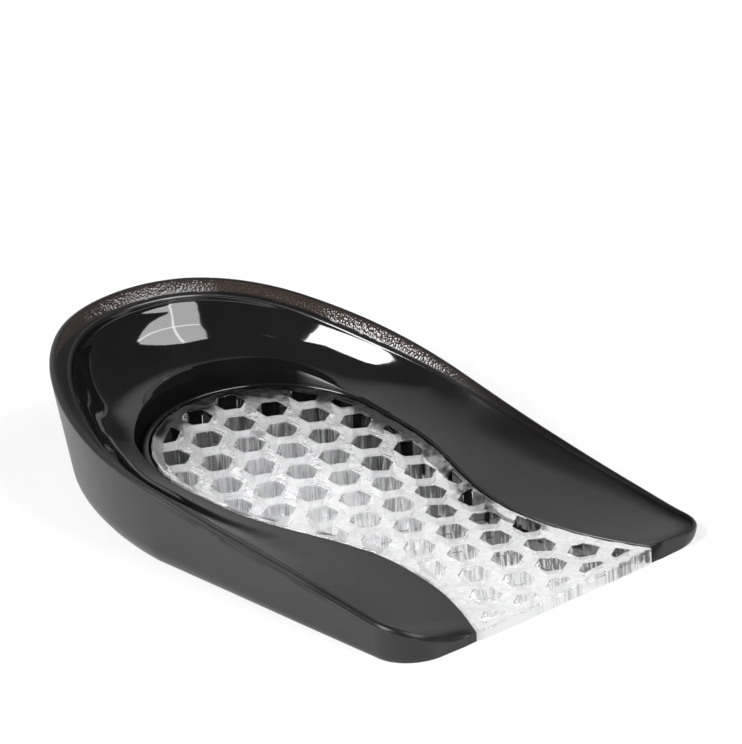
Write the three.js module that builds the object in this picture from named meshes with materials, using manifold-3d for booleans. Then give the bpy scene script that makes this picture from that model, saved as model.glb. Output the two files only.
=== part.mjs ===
// Gel heel lift: a soft black heel cup moulded round a clear honeycomb core.
// Millimetres. +Z up, +Y towards the heel, -Y towards the toes, +X to the right
// seen from above with the heel away from the viewer. The origin is on the
// ground under the middle of the part, and the part rests on z = 0.

import * as THREE from 'three';
import { mergeVertices } from 'three/addons/utils/BufferGeometryUtils.js';
import Module from 'manifold-3d';

// ---------------------------------------------------------------- dimensions

const LENGTH = 95.5;            // front edge to the back of the rim
const HALF_WIDTH = 30.8;        // middle plane to the outer edge of the rim
const HEEL_BACK = LENGTH / 2;   // y of the back of the rim
const FRONT = -LENGTH / 2;      // y of the front edge of the core

const HEEL_CENTRE = 5.5;        // y where the straight sides turn into the heel curve
const HEEL_POWER = 2.08;        // roundness of the heel curve (2 is an ellipse)

const WING_FRONT = FRONT + 0.25; // y of the front ends of the two wings
const WING_CORNER = 6.3;         // corner radius of the wing ends
const GAP = 0.3;                 // clear gap between the cup and the core

// The rim from the wing ends to the back of the heel.
// y: place along the part; height: rim above the ground; twist: left rim up and
// right rim down by this much; taper: how far the outer wall leans in on its way
// down; foot: radius that rounds the wall into the base; lip: width of the rim's
// top; bowl: power of the inside curve (1 flat, 2 a quarter ellipse)
const RIM = [
  { y: -41.8, height: 3.9, twist: 2.1, taper: 0.5, foot: 1.0, lip: 1.5, bowl: 1.25 },
  { y: -23.8, height: 6.9, twist: 1.8, taper: 1.0, foot: 1.6, lip: 1.9, bowl: 1.45 },
  { y: -8.2, height: 9.6, twist: 1.2, taper: 1.6, foot: 2.2, lip: 2.4, bowl: 1.75 },
  { y: 5.2, height: 12.4, twist: 0.7, taper: 2.2, foot: 2.9, lip: 2.8, bowl: 2.05 },
  { y: 16.9, height: 14.8, twist: 0.2, taper: 2.7, foot: 3.6, lip: 3.0, bowl: 2.3 },
  { y: 27.3, height: 17.4, twist: 0.1, taper: 3.0, foot: 4.1, lip: 3.2, bowl: 2.4 },
  { y: 36.9, height: 20.0, twist: 0.0, taper: 3.1, foot: 4.4, lip: 3.3, bowl: 2.4 },
  { y: 44.5, height: 21.7, twist: 0.0, taper: 3.1, foot: 4.5, lip: 3.3, bowl: 2.4 },
  { y: 47.8, height: 22.1, twist: 0.0, taper: 3.1, foot: 4.5, lip: 3.3, bowl: 2.4 },
];

// The core's outline in plan, front to back: half width about its own middle line
const CORE_MIDDLE = 0.5;        // x of the core's middle line
const CORE_ROUND = 18.2;        // radius of the round back end of the core
const CORE_CENTRE = 12.7;       // y of the centre of that round end
const CORE = [
  { y: FRONT, half: 17.2 },
  { y: -41.0, half: 14.2 },
  { y: -34.1, half: 12.1 },
  { y: -23.7, half: 11.15 },
  { y: -16.2, half: 12.4 },
  { y: -0.6, half: 17.1 },
  { y: CORE_CENTRE, half: CORE_ROUND },
];

// The core's top: a wedge, thin in front, with a slight hollow along its length
const CORE_TOP = { front: 2.1, back: 9.2, sag: 0.9, tilt: 0.55 };

// The step from the cup's floor down to the core round the core's back end, with
// a narrow ledge at the core's level
const STEP = { back: 2.1, side: 0.2, ledge: 1.6, riser: 0.5 };

// The honeycomb: rows across the part, hexagons with points towards heel and toe
const PITCH = 6.5;              // cell to cell along a row
const ROW = PITCH * Math.sqrt(3) / 2;
const CELL_RADIUS = 2.35;       // centre to point, at the top
const CELL_DRAFT = 0.2;         // the cell's radius gets this much smaller at its floor
const CELL_FLOOR = 0.9;         // clear gel left under the cells
const BORDER = 1.7;             // plain edge round the cells
const BORDER_WAIST = 0.6;       // its narrowest, along the right of the waist
const LATTICE = { x: -2.1, y: 38.05, rows: 16, columns: 4, least: 0.22 };

// Edges
const EDGE = { footWidth: 0.62, rimOuter: 1.1, rimInner: 0.7, lipFall: 0.5 };

// ------------------------------------------------------------------- helpers

const lerp = (a, b, t) => a + (b - a) * t;
const clamp01 = (t) => Math.min(1, Math.max(0, t));
const smooth = (t) => { const u = clamp01(t); return u * u * (3 - 2 * u); };

// Smooth reading of one column of a table with rising y
function read(rows, column, y) {
  const last = rows.length - 1;
  if (y <= rows[0].y) return rows[0][column];
  if (y >= rows[last].y) return rows[last][column];
  let k = 0;
  while (y > rows[k + 1].y) k += 1;
  const slope = (i) => {
    const a = rows[Math.max(0, i - 1)], b = rows[Math.min(last, i + 1)];
    return (b[column] - a[column]) / (b.y - a.y);
  };
  const p = rows[k], q = rows[k + 1], h = q.y - p.y, t = (y - p.y) / h;
  const t2 = t * t, t3 = t2 * t;
  return p[column] * (2 * t3 - 3 * t2 + 1) + h * slope(k) * (t3 - 2 * t2 + t)
    + q[column] * (3 * t2 - 2 * t3) + h * slope(k + 1) * (t3 - t2);
}

// Half width of the core at y
function coreHalf(y) {
  if (y <= CORE_CENTRE) return read(CORE, 'half', y);
  const d = y - CORE_CENTRE;
  return Math.sqrt(Math.max(0, CORE_ROUND * CORE_ROUND - d * d));
}

// Height of the core's top at a point of the plan
function coreTop(x, y) {
  const t = (y - FRONT) / (CORE_CENTRE + CORE_ROUND - FRONT);
  return lerp(CORE_TOP.front, CORE_TOP.back, t) - CORE_TOP.sag * 4 * t * (1 - t) * 0.5
    + CORE_TOP.tilt * (x - CORE_MIDDLE) / CORE_ROUND;
}

// A closed mesh swept through rings of equal point count, capped at both ends
function loft(rings) {
  const n = rings[0].length, position = [], index = [];
  rings.forEach((ring) => ring.forEach((p) => position.push(p.x, p.y, p.z)));
  for (let i = 0; i + 1 < rings.length; i += 1) {
    for (let j = 0; j < n; j += 1) {
      const a = i * n + j, b = i * n + (j + 1) % n;
      index.push(a, b, b + n, a, b + n, a + n);
    }
  }
  for (const i of [0, rings.length - 1]) {
    const flat = rings[i], origin = flat[0];
    const along = new THREE.Vector3().subVectors(flat[1], origin).normalize();
    const normal = new THREE.Vector3();
    flat.forEach((p, k) => {
      const a = new THREE.Vector3().subVectors(p, origin);
      normal.add(a.cross(new THREE.Vector3().subVectors(flat[(k + 1) % n], origin)));
    });
    const across = normal.normalize().cross(along);
    const contour = flat.map((p) => {
      const d = new THREE.Vector3().subVectors(p, origin);
      return new THREE.Vector2(d.dot(along), d.dot(across));
    });
    THREE.ShapeUtils.triangulateShape(contour, []).forEach(([a, b, c]) => {
      const turn = i === 0 ? [a, c, b] : [a, b, c];
      index.push(...turn.map((k) => i * n + k));
    });
  }
  const geometry = new THREE.BufferGeometry();
  geometry.setAttribute('position', new THREE.Float32BufferAttribute(position, 3));
  geometry.setIndex(index);
  return facingOut(geometry);
}

// Six times the signed volume of a closed indexed mesh
function signedVolume(geometry) {
  const p = geometry.getAttribute('position'), t = geometry.getIndex();
  const v = [new THREE.Vector3(), new THREE.Vector3(), new THREE.Vector3()];
  let sum = 0;
  for (let i = 0; i < t.count; i += 3) {
    v.forEach((q, k) => q.fromBufferAttribute(p, t.getX(i + k)));
    sum += v[0].dot(v[1].clone().cross(v[2]));
  }
  return sum;
}

function facingOut(geometry) {
  if (signedVolume(geometry) < 0) {
    const t = geometry.getIndex();
    for (let i = 0; i < t.count; i += 3) {
      const b = t.getX(i + 1);
      t.setX(i + 1, t.getX(i + 2));
      t.setX(i + 2, b);
    }
  }
  return geometry;
}

const wasm = await Module();
wasm.setup();

function toSolid(geometry) {
  const bare = geometry.clone();
  Object.keys(bare.attributes).forEach((name) => {
    if (name !== 'position') bare.deleteAttribute(name);
  });
  const merged = mergeVertices(bare, 1e-4);
  return new wasm.Manifold(new wasm.Mesh({
    numProp: 3,
    vertProperties: new Float32Array(merged.getAttribute('position').array),
    triVerts: new Uint32Array(merged.getIndex().array),
  }));
}

function toGeometry(solid) {
  const mesh = solid.getMesh();
  const geometry = new THREE.BufferGeometry();
  const position = new Float32Array(mesh.numVert * 3);
  for (let i = 0; i < mesh.numVert; i += 1) {
    for (let k = 0; k < 3; k += 1) position[3 * i + k] = mesh.vertProperties[i * mesh.numProp + k];
  }
  geometry.setAttribute('position', new THREE.BufferAttribute(position, 3));
  geometry.setIndex(Array.from(mesh.triVerts));
  return geometry;
}

// ------------------------------------------------------------------ heel cup

// Stations of one side from the front of the wing to the back of the heel.
// Each pairs a point on the core's edge with a point on the rim's outer edge.
const TIP = { front: 4, corner: 6 };
const SIDE_STEPS = 13;
const HEEL_STEPS = 12;
const TIP_INNER = [FRONT + 0.35, FRONT + 4.2];   // the core edge shared by the wing end

function innerEdge(side, y) {
  const slope = (coreHalf(y + 0.05) - coreHalf(y - 0.05)) / 0.1;
  return { x: CORE_MIDDLE + side * (coreHalf(y) + GAP * Math.hypot(1, slope)), y };
}

function sideStations(side) {
  const list = [];
  const rimAt = (y) => read(RIM, 'height', y) + (side < 0 ? 1 : -1) * read(RIM, 'twist', y);
  const shape = (y) => ({
    taper: read(RIM, 'taper', y), foot: read(RIM, 'foot', y),
    lip: read(RIM, 'lip', y), bowl: read(RIM, 'bowl', y),
  });
  const tipCount = TIP.front + TIP.corner;
  const cornerX = HALF_WIDTH - WING_CORNER, cornerY = WING_FRONT + WING_CORNER;
  const startX = Math.abs(innerEdge(side, TIP_INNER[0]).x) + 2.4;
  for (let k = 0; k < tipCount; k += 1) {
    const inner = innerEdge(side, lerp(TIP_INNER[0], TIP_INNER[1], k / tipCount));
    let outer;
    if (k < TIP.front) {
      outer = { x: side * lerp(startX, cornerX, k / TIP.front), y: WING_FRONT };
    } else {
      const angle = ((k - TIP.front) / TIP.corner) * Math.PI / 2;
      outer = {
        x: side * (cornerX + WING_CORNER * Math.sin(angle)),
        y: cornerY - WING_CORNER * Math.cos(angle),
      };
    }
    const rise = smooth(k / tipCount);
    list.push({
      inner, outer, step: 0,
      rim: lerp(coreTop(inner.x, inner.y) - 0.15, rimAt(cornerY), rise), ...shape(cornerY),
    });
  }
  for (let k = 0; k < SIDE_STEPS; k += 1) {
    const t = k / SIDE_STEPS;
    const y = lerp(cornerY, HEEL_CENTRE, t);
    list.push({
      inner: innerEdge(side, lerp(TIP_INNER[1], CORE_CENTRE, t)),
      outer: { x: side * HALF_WIDTH, y },
      step: STEP.side * smooth(t), rim: rimAt(y), ...shape(y),
    });
  }
  for (let k = 0; k <= HEEL_STEPS; k += 1) {
    const t = k / HEEL_STEPS, angle = t * Math.PI / 2;
    const power = 2 / HEEL_POWER;
    const outer = {
      x: side * HALF_WIDTH * Math.cos(angle) ** power,
      y: HEEL_CENTRE + (HEEL_BACK - HEEL_CENTRE) * Math.sin(angle) ** power,
    };
    const radius = CORE_ROUND + GAP;
    list.push({
      inner: { x: CORE_MIDDLE + side * radius * Math.cos(angle), y: CORE_CENTRE + radius * Math.sin(angle) },
      outer,
      step: lerp(STEP.side, STEP.back, smooth((t - 0.08) / 0.55)), rim: rimAt(outer.y), ...shape(outer.y),
    });
  }
  return list;
}

// The cup's section at one station: a is measured from the core's edge outwards
const BOWL_STEPS = [0.985, 0.945, 0.88, 0.79, 0.67, 0.5, 0.27];
const FOOT_STEPS = [0, 0.06, 0.25, 0.58, 1];

function cupSection(s) {
  const width = Math.hypot(s.outer.x - s.inner.x, s.outer.y - s.inner.y);
  const fit = clamp01(width / 9);
  const lip = Math.min(s.lip, 0.4 * width);
  const ro = Math.min(EDGE.rimOuter * fit, 0.3 * s.rim), ri = Math.min(EDGE.rimInner * fit, 0.3 * s.rim);
  const foot = Math.min(s.foot * fit, 0.45 * s.rim), taper = s.taper * fit, fall = EDGE.lipFall * fit;
  const core = coreTop(s.inner.x, s.inner.y);
  const ledge = Math.min(STEP.ledge * clamp01(s.step / 1.5), 0.2 * width);
  const riser = Math.min(STEP.riser * clamp01(s.step / 1.5) + 0.02, 0.1 * width);
  const floor = core + s.step, start = ledge + riser;
  const wall = (z) => {
    const round = z < foot ? 1 - Math.sqrt(1 - (1 - z / foot) ** 2) : 0;
    return width - taper * (1 - z / (s.rim - ro)) - EDGE.footWidth * foot * round;
  };
  const lipTop = s.rim - fall - ri * 0.6;
  const points = [[0, 0]];
  FOOT_STEPS.forEach((t) => points.push([wall(t * foot), t * foot]));
  const mid = lerp(foot, s.rim - ro, 0.5);
  points.push(
    [wall(mid), mid],
    [width, s.rim - ro],
    [width - 0.3 * ro, s.rim - 0.3 * ro],
    [width - ro, s.rim],
    [width - lip + ri, s.rim - fall],
    [width - lip, lipTop],
  );
  BOWL_STEPS.forEach((t) => {
    const g = 1 - (1 - t ** s.bowl) ** (1 / s.bowl);
    points.push([lerp(start, width - lip, t), lerp(floor, lipTop, g)]);
  });
  points.push([start, floor], [ledge + 0.01, core + 0.1 * s.step], [0, core]);
  const ux = (s.outer.x - s.inner.x) / width, uy = (s.outer.y - s.inner.y) / width;
  return points.map(([a, z]) => new THREE.Vector3(s.inner.x + ux * a, s.inner.y + uy * a, z));
}

const leftStations = sideStations(-1);
const rightStations = sideStations(1);
rightStations.pop();                              // the back of the heel is shared
const cupGeometry = loft([...leftStations, ...rightStations.reverse()].map(cupSection));

// ------------------------------------------------------------ honeycomb core

const TAIL_STEPS = [0.55, 0.82, 0.96, 0.998];   // extra stations at the round back end

// Stations of the core's block: through the middle of each row of cells and
// half way between rows, then closer together round the back end
function coreStations() {
  const back = CORE_CENTRE + CORE_ROUND, ys = [FRONT];
  for (let k = 2 * LATTICE.rows; k > 0; k -= 1) {
    const y = LATTICE.y - k * ROW / 2;
    if (y > FRONT + 0.6 && y < back - 0.6) ys.push(y);
  }
  const last = ys[ys.length - 1];
  TAIL_STEPS.forEach((t) => ys.push(lerp(last, back, t)));
  return ys;
}

const blockRing = (y) => {
  const l = CORE_MIDDLE - coreHalf(y), r = CORE_MIDDLE + coreHalf(y);
  return [
    new THREE.Vector3(l, y, 0), new THREE.Vector3(r, y, 0),
    new THREE.Vector3(r, y, coreTop(r, y)), new THREE.Vector3(l, y, coreTop(l, y)),
  ];
};

// Keep the part of a convex outline where n . p <= d
function clip(outline, n, d) {
  const kept = [];
  outline.forEach((p, k) => {
    const q = outline[(k + 1) % outline.length];
    const a = n.dot(p) - d, b = n.dot(q) - d;
    if (a <= 0) kept.push(p);
    if (a * b < 0) kept.push(p.clone().lerp(q, a / (a - b)));
  });
  return kept.filter((p, k) => p.distanceTo(kept[(k + 1) % kept.length]) > 0.12);
}

// Width of the plain border beside a cell at y
const borderAt = (side, y) => (side < 0 ? BORDER
  : lerp(BORDER, BORDER_WAIST, smooth((-5 - y) / 6) * smooth((y + 37) / 5)));

// The straight edges that limit a cell: the core's side less its border, and the front
function limits(x, y) {
  const list = [{ n: new THREE.Vector2(0, -1), d: -(FRONT + BORDER) }];
  const side = x < CORE_MIDDLE ? -1 : 1;
  let best = null;
  for (let k = 0; k <= 240; k += 1) {
    const v = lerp(Math.max(FRONT, y - 9), Math.min(CORE_CENTRE + CORE_ROUND - 1e-3, y + 9), k / 240);
    const p = new THREE.Vector2(CORE_MIDDLE + side * coreHalf(v), v);
    const far = Math.hypot(p.x - x, p.y - y);
    if (!best || far < best.far) best = { far, p, v };
  }
  const slope = (coreHalf(best.v + 1e-3) - coreHalf(best.v - 1e-3)) / 2e-3;
  const n = new THREE.Vector2(side, -slope).normalize();
  list.push({ n, d: n.dot(best.p) - borderAt(side, y) });
  return list;
}

const area = (outline) => Math.abs(THREE.ShapeUtils.area(outline));

function hexagon(x, y, radius) {
  return Array.from({ length: 6 }, (_, k) => {
    const angle = Math.PI / 2 + k * Math.PI / 3;
    return new THREE.Vector2(x + radius * Math.cos(angle), y + radius * Math.sin(angle));
  });
}

// A cell's outline in plan, cut off at the border; nothing where too little is left
function cellOutline(x, y) {
  let outline = hexagon(x, y, CELL_RADIUS);
  const whole = area(outline);
  limits(x, y).forEach(({ n, d }) => { outline = clip(outline, n, d); });
  return outline.length > 2 && area(outline) > LATTICE.least * whole ? outline : null;
}

// One cell: a prism from its floor to above the core, with a slight draft
function cellGeometry(outline) {
  const middle = outline.reduce((m, p) => m.add(p), new THREE.Vector2()).divideScalar(outline.length);
  const top = coreTop(middle.x, middle.y), high = top + 1.5;
  const rate = CELL_DRAFT / CELL_RADIUS / Math.max(2, top - CELL_FLOOR);
  const ring = (z) => outline.map((p) => {
    const q = p.clone().sub(middle).multiplyScalar(1 + rate * (z - top)).add(middle);
    return new THREE.Vector3(q.x, q.y, z);
  });
  return loft([ring(CELL_FLOOR), ring(high)]);
}

function coreSolid() {
  let solid = toSolid(loft(coreStations().map(blockRing)));
  for (let row = 0; row < LATTICE.rows; row += 1) {
    const shift = row % 2 ? 0.5 : 0;
    for (let column = -LATTICE.columns; column <= LATTICE.columns; column += 1) {
      const x = LATTICE.x + (column + shift) * PITCH, y = LATTICE.y - row * ROW;
      if (Math.abs(x - CORE_MIDDLE) > coreHalf(y) + PITCH) continue;
      const outline = cellOutline(x, y);
      if (outline) solid = solid.subtract(toSolid(cellGeometry(outline)));
    }
  }
  return solid;
}

const coreGeometry = toGeometry(coreSolid());

// ------------------------------------------------------------------ assembly

const blackGel = new THREE.MeshStandardMaterial({ color: 0x1c1b1c, roughness: 0.3, metalness: 0 });
const clearGel = new THREE.MeshStandardMaterial({ color: 0xe9eced, roughness: 0.2, metalness: 0, transparent: true, opacity: 0.6 });

function piece(name, geometry, material) {
  geometry.computeVertexNormals();
  const mesh = new THREE.Mesh(geometry, material);
  mesh.name = name;
  return mesh;
}

const group = new THREE.Group();
group.add(piece('heel_cup', cupGeometry, blackGel));
group.add(piece('honeycomb_core', coreGeometry, clearGel));

export default group;
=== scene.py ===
# Gel heel lift: looks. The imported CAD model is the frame; both soft pieces are
# remade here as fine meshes with the same sizes, in the same place.
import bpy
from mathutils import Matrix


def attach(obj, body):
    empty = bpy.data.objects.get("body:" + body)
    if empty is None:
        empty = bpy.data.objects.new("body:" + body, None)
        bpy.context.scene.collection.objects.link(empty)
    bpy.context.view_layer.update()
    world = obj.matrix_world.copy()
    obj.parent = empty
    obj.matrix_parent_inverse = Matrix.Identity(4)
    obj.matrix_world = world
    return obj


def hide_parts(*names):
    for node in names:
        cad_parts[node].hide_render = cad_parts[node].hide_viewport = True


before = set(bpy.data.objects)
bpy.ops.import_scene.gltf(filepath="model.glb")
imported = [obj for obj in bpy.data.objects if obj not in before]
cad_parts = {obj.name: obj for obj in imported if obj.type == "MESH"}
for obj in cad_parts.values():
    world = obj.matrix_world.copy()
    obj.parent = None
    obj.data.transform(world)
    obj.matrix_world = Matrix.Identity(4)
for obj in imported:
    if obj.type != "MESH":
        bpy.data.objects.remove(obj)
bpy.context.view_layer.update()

import math

import bpy
import numpy as np
from mathutils import Matrix, Vector
from mathutils.geometry import delaunay_2d_cdt
from mathutils.kdtree import KDTree

MM = 0.001

# ------------------------------------------------------------------ dimensions
# Millimetres, the same as the CAD model's.

LENGTH = 95.5
HALF_WIDTH = 30.8
HEEL_BACK = LENGTH / 2
FRONT = -LENGTH / 2
HEEL_CENTRE = 5.5
HEEL_POWER = 2.08
WING_FRONT = FRONT + 0.25
WING_CORNER = 6.3
GAP = 0.3

RIM_COLUMNS = ("y", "height", "twist", "taper", "foot", "lip", "bowl")
RIM = np.array([
    (-41.8, 3.9, 2.1, 0.5, 1.0, 1.5, 1.25),
    (-23.8, 6.9, 1.8, 1.0, 1.6, 1.9, 1.45),
    (-8.2, 9.6, 1.2, 1.6, 2.2, 2.4, 1.75),
    (5.2, 12.4, 0.7, 2.2, 2.9, 2.8, 2.05),
    (16.9, 14.8, 0.2, 2.7, 3.6, 3.0, 2.3),
    (27.3, 17.4, 0.1, 3.0, 4.1, 3.2, 2.4),
    (36.9, 20.0, 0.0, 3.1, 4.4, 3.3, 2.4),
    (44.5, 21.7, 0.0, 3.1, 4.5, 3.3, 2.4),
    (47.8, 22.1, 0.0, 3.1, 4.5, 3.3, 2.4),
])

CORE_MIDDLE = 0.5
CORE_ROUND = 18.2
CORE_CENTRE = 12.7
CORE_COLUMNS = ("y", "half")
CORE = np.array([
    (FRONT, 17.2), (-41.0, 14.2), (-34.1, 12.1), (-23.7, 11.15),
    (-16.2, 12.4), (-0.6, 17.1), (CORE_CENTRE, CORE_ROUND),
])
CORE_FRONT_TOP, CORE_BACK_TOP, CORE_SAG, CORE_TILT = 2.1, 9.2, 0.9, 0.55
STEP_BACK, STEP_SIDE, STEP_LEDGE, STEP_RISER = 2.1, 0.2, 1.6, 0.5

PITCH = 6.5
ROW = PITCH * math.sqrt(3) / 2
CELL_RADIUS = 2.35
CELL_DRAFT = 0.2
CELL_FLOOR = 0.9
BORDER, BORDER_WAIST = 1.7, 0.6
LATTICE_X, LATTICE_Y, LATTICE_ROWS, LATTICE_COLUMNS, LATTICE_LEAST = -2.1, 38.05, 16, 4, 0.22
FOOT_WIDTH, RIM_OUTER, RIM_INNER, LIP_FALL = 0.62, 0.6, 0.7, 0.5
TIP_FRONT, TIP_CORNER = 4, 6
TIP_INNER = (FRONT + 0.35, FRONT + 4.2)


# --------------------------------------------------------------------- helpers

def lerp(a, b, t):
    return a + (b - a) * t


def smooth(t):
    u = np.clip(t, 0.0, 1.0)
    return u * u * (3 - 2 * u)


def read(table, columns, column, y):
    """Smooth reading of one column of a table with rising y, held at its ends."""
    ys, vs = table[:, 0], table[:, columns.index(column)]
    y = np.clip(np.asarray(y, float), ys[0], ys[-1])
    lo, hi = np.maximum(np.arange(len(ys)) - 1, 0), np.minimum(np.arange(len(ys)) + 1, len(ys) - 1)
    slopes = (vs[hi] - vs[lo]) / (ys[hi] - ys[lo])
    k = np.clip(np.searchsorted(ys, y, side="left") - 1, 0, len(ys) - 2)
    h = ys[k + 1] - ys[k]
    t = (y - ys[k]) / h
    t2, t3 = t * t, t * t * t
    return (vs[k] * (2 * t3 - 3 * t2 + 1) + h * slopes[k] * (t3 - 2 * t2 + t)
            + vs[k + 1] * (3 * t2 - 2 * t3) + h * slopes[k + 1] * (t3 - t2))


def core_half(y):
    y = np.asarray(y, float)
    d = np.clip(y - CORE_CENTRE, 0, CORE_ROUND)
    return np.where(y <= CORE_CENTRE, read(CORE, CORE_COLUMNS, "half", y),
                    np.sqrt(np.maximum(0.0, CORE_ROUND ** 2 - d * d)))


def core_top(x, y):
    t = (y - FRONT) / (CORE_CENTRE + CORE_ROUND - FRONT)
    return (lerp(CORE_FRONT_TOP, CORE_BACK_TOP, t) - CORE_SAG * 2 * t * (1 - t)
            + CORE_TILT * (x - CORE_MIDDLE) / CORE_ROUND)


def _hash(ix, iy, iz, seed):
    h = (ix.astype(np.int64) * 374761393 + iy.astype(np.int64) * 668265263
         + iz.astype(np.int64) * 2147483647 + seed * 974711) & 0xFFFFFFFF
    h = ((h ^ (h >> 13)) * 1274126177) & 0xFFFFFFFF
    h = ((h ^ (h >> 16)) * 2246822519) & 0xFFFFFFFF
    return ((h ^ (h >> 15)) & 0xFFFFFF) / float(0xFFFFFF)


def noise(p, size, seed=0):
    """Smooth value noise from -1 to 1 at points p (n, 3) in mm, with lumps of about size mm."""
    q = np.asarray(p, float) / np.asarray(size, float)
    i = np.floor(q)
    f = q - i
    f = f * f * f * (f * (f * 6 - 15) + 10)
    i = i.astype(np.int64)
    total = 0.0
    for dx in (0, 1):
        for dy in (0, 1):
            for dz in (0, 1):
                weight = ((f[:, 0] if dx else 1 - f[:, 0]) * (f[:, 1] if dy else 1 - f[:, 1])
                          * (f[:, 2] if dz else 1 - f[:, 2]))
                total = total + weight * _hash(i[:, 0] + dx, i[:, 1] + dy, i[:, 2] + dz, seed)
    return total * 2 - 1


def mesh_object(name, points, faces, materials, sharp=None, attributes=(), slots=None):
    """A mesh object from points in mm. faces is a list of index arrays, each (n, 3) or (n, 4),
    and slots the material index of every face of each array."""
    mesh = bpy.data.meshes.new(name)
    loops = np.concatenate([np.asarray(f, np.int32).reshape(-1) for f in faces])
    sizes = np.concatenate([np.full(len(f), np.asarray(f).shape[1], np.int32) for f in faces])
    mesh.vertices.add(len(points))
    mesh.vertices.foreach_set("co", (np.asarray(points, float) * MM).astype(np.float32).reshape(-1))
    mesh.loops.add(len(loops))
    mesh.loops.foreach_set("vertex_index", loops)
    mesh.polygons.add(len(sizes))
    mesh.polygons.foreach_set("loop_start", np.concatenate([[0], np.cumsum(sizes)[:-1]]).astype(np.int32))
    mesh.polygons.foreach_set("loop_total", sizes)
    mesh.polygons.foreach_set("use_smooth", np.ones(len(sizes), bool))
    for material in materials:
        mesh.materials.append(material)
    if slots is not None:
        mesh.polygons.foreach_set("material_index", np.concatenate(slots).astype(np.int32))
    mesh.update(calc_edges=True)
    mesh.validate()
    for title, values in attributes:
        mesh.attributes.new(title, "FLOAT", "POINT").data.foreach_set("value", np.asarray(values, np.float32))
    if sharp is not None:
        mesh.set_sharp_from_angle(angle=math.radians(sharp))
    obj = bpy.data.objects.new(name, mesh)
    bpy.context.scene.collection.objects.link(obj)
    return obj


# -------------------------------------------------------------------- heel cup

TIP_SAMPLES, SIDE_SAMPLES, HEEL_SAMPLES = 46, 132, 196


def inner_edge(side, y):
    slope = (core_half(y + 0.05) - core_half(y - 0.05)) / 0.1
    return CORE_MIDDLE + side * (core_half(y) + GAP * np.hypot(1, slope)), y


def side_stations(side):
    """Stations of one side, from the front of the wing to the back of the heel."""
    sign = 1 if side < 0 else -1

    def rim_at(y):
        return read(RIM, RIM_COLUMNS, "height", y) + sign * read(RIM, RIM_COLUMNS, "twist", y)

    parts = []

    def add(ix, iy, ox, oy, rim, step, y):
        parts.append(dict(ix=ix, iy=iy, ox=ox, oy=oy, rim=rim, step=step + 0 * ix, y=y + 0 * ix))

    count = TIP_FRONT + TIP_CORNER
    corner_x, corner_y = HALF_WIDTH - WING_CORNER, WING_FRONT + WING_CORNER
    start_x = abs(float(inner_edge(side, np.array([TIP_INNER[0]]))[0][0])) + 2.4
    k = np.arange(TIP_SAMPLES) / TIP_SAMPLES * count
    ix, iy = inner_edge(side, lerp(TIP_INNER[0], TIP_INNER[1], k / count))
    angle = np.clip((k - TIP_FRONT) / TIP_CORNER, 0, 1) * math.pi / 2
    ox = np.where(k < TIP_FRONT, lerp(start_x, corner_x, k / TIP_FRONT), corner_x + WING_CORNER * np.sin(angle))
    oy = np.where(k < TIP_FRONT, WING_FRONT, corner_y - WING_CORNER * np.cos(angle))
    rim = lerp(core_top(ix, iy) - 0.15, rim_at(corner_y), smooth(k / count))
    add(ix, iy, side * ox, oy, rim, 0.0, corner_y)

    t = np.arange(SIDE_SAMPLES) / SIDE_SAMPLES
    y = lerp(corner_y, HEEL_CENTRE, t)
    ix, iy = inner_edge(side, lerp(TIP_INNER[1], CORE_CENTRE, t))
    add(ix, iy, side * HALF_WIDTH + 0 * y, y, rim_at(y), STEP_SIDE * smooth(t), y)

    t = np.arange(HEEL_SAMPLES + 1) / HEEL_SAMPLES
    angle, power = t * math.pi / 2, 2 / HEEL_POWER
    ox = side * HALF_WIDTH * np.maximum(np.cos(angle), 0) ** power
    oy = HEEL_CENTRE + (HEEL_BACK - HEEL_CENTRE) * np.sin(angle) ** power
    radius = CORE_ROUND + GAP
    ix = CORE_MIDDLE + side * radius * np.cos(angle)
    iy = CORE_CENTRE + radius * np.sin(angle)
    add(ix, iy, ox, oy, rim_at(oy), lerp(STEP_SIDE, STEP_BACK, smooth((t - 0.08) / 0.55)), oy)
    return {key: np.concatenate([p[key] for p in parts]) for key in parts[0]}


def blurred(values, radius):
    """Values along the stations with small kinks smoothed out."""
    weights = np.exp(-0.5 * (np.arange(-3 * radius, 3 * radius + 1) / radius) ** 2)
    padded = np.concatenate([np.full(3 * radius, values[0]), values, np.full(3 * radius, values[-1])])
    return np.convolve(padded, weights / weights.sum(), "valid")


def cup_stations():
    left, right = side_stations(-1), side_stations(1)
    s = {key: np.concatenate([left[key], right[key][:-1][::-1]]) for key in left}
    s["side"] = np.concatenate([np.full(len(left["y"]), -1.0), np.full(len(right["y"]) - 1, 1.0)])
    for name in ("taper", "foot", "lip", "bowl"):
        s[name] = read(RIM, RIM_COLUMNS, name, s["y"])
    # the left of the heel bowl is rounder
    left_bowl = np.where(s["side"] < 0, smooth((46 - s["y"]) / 10) * smooth((s["y"] - 1) / 24), 0.0)
    s["bowl"] = s["bowl"] * (1 - 0.27 * blurred(left_bowl, 4))
    s["rim"] = blurred(s["rim"], 5)
    s["along"] = np.concatenate([[0], np.cumsum(np.hypot(np.diff(s["ox"]), np.diff(s["oy"])))])
    return s


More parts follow.
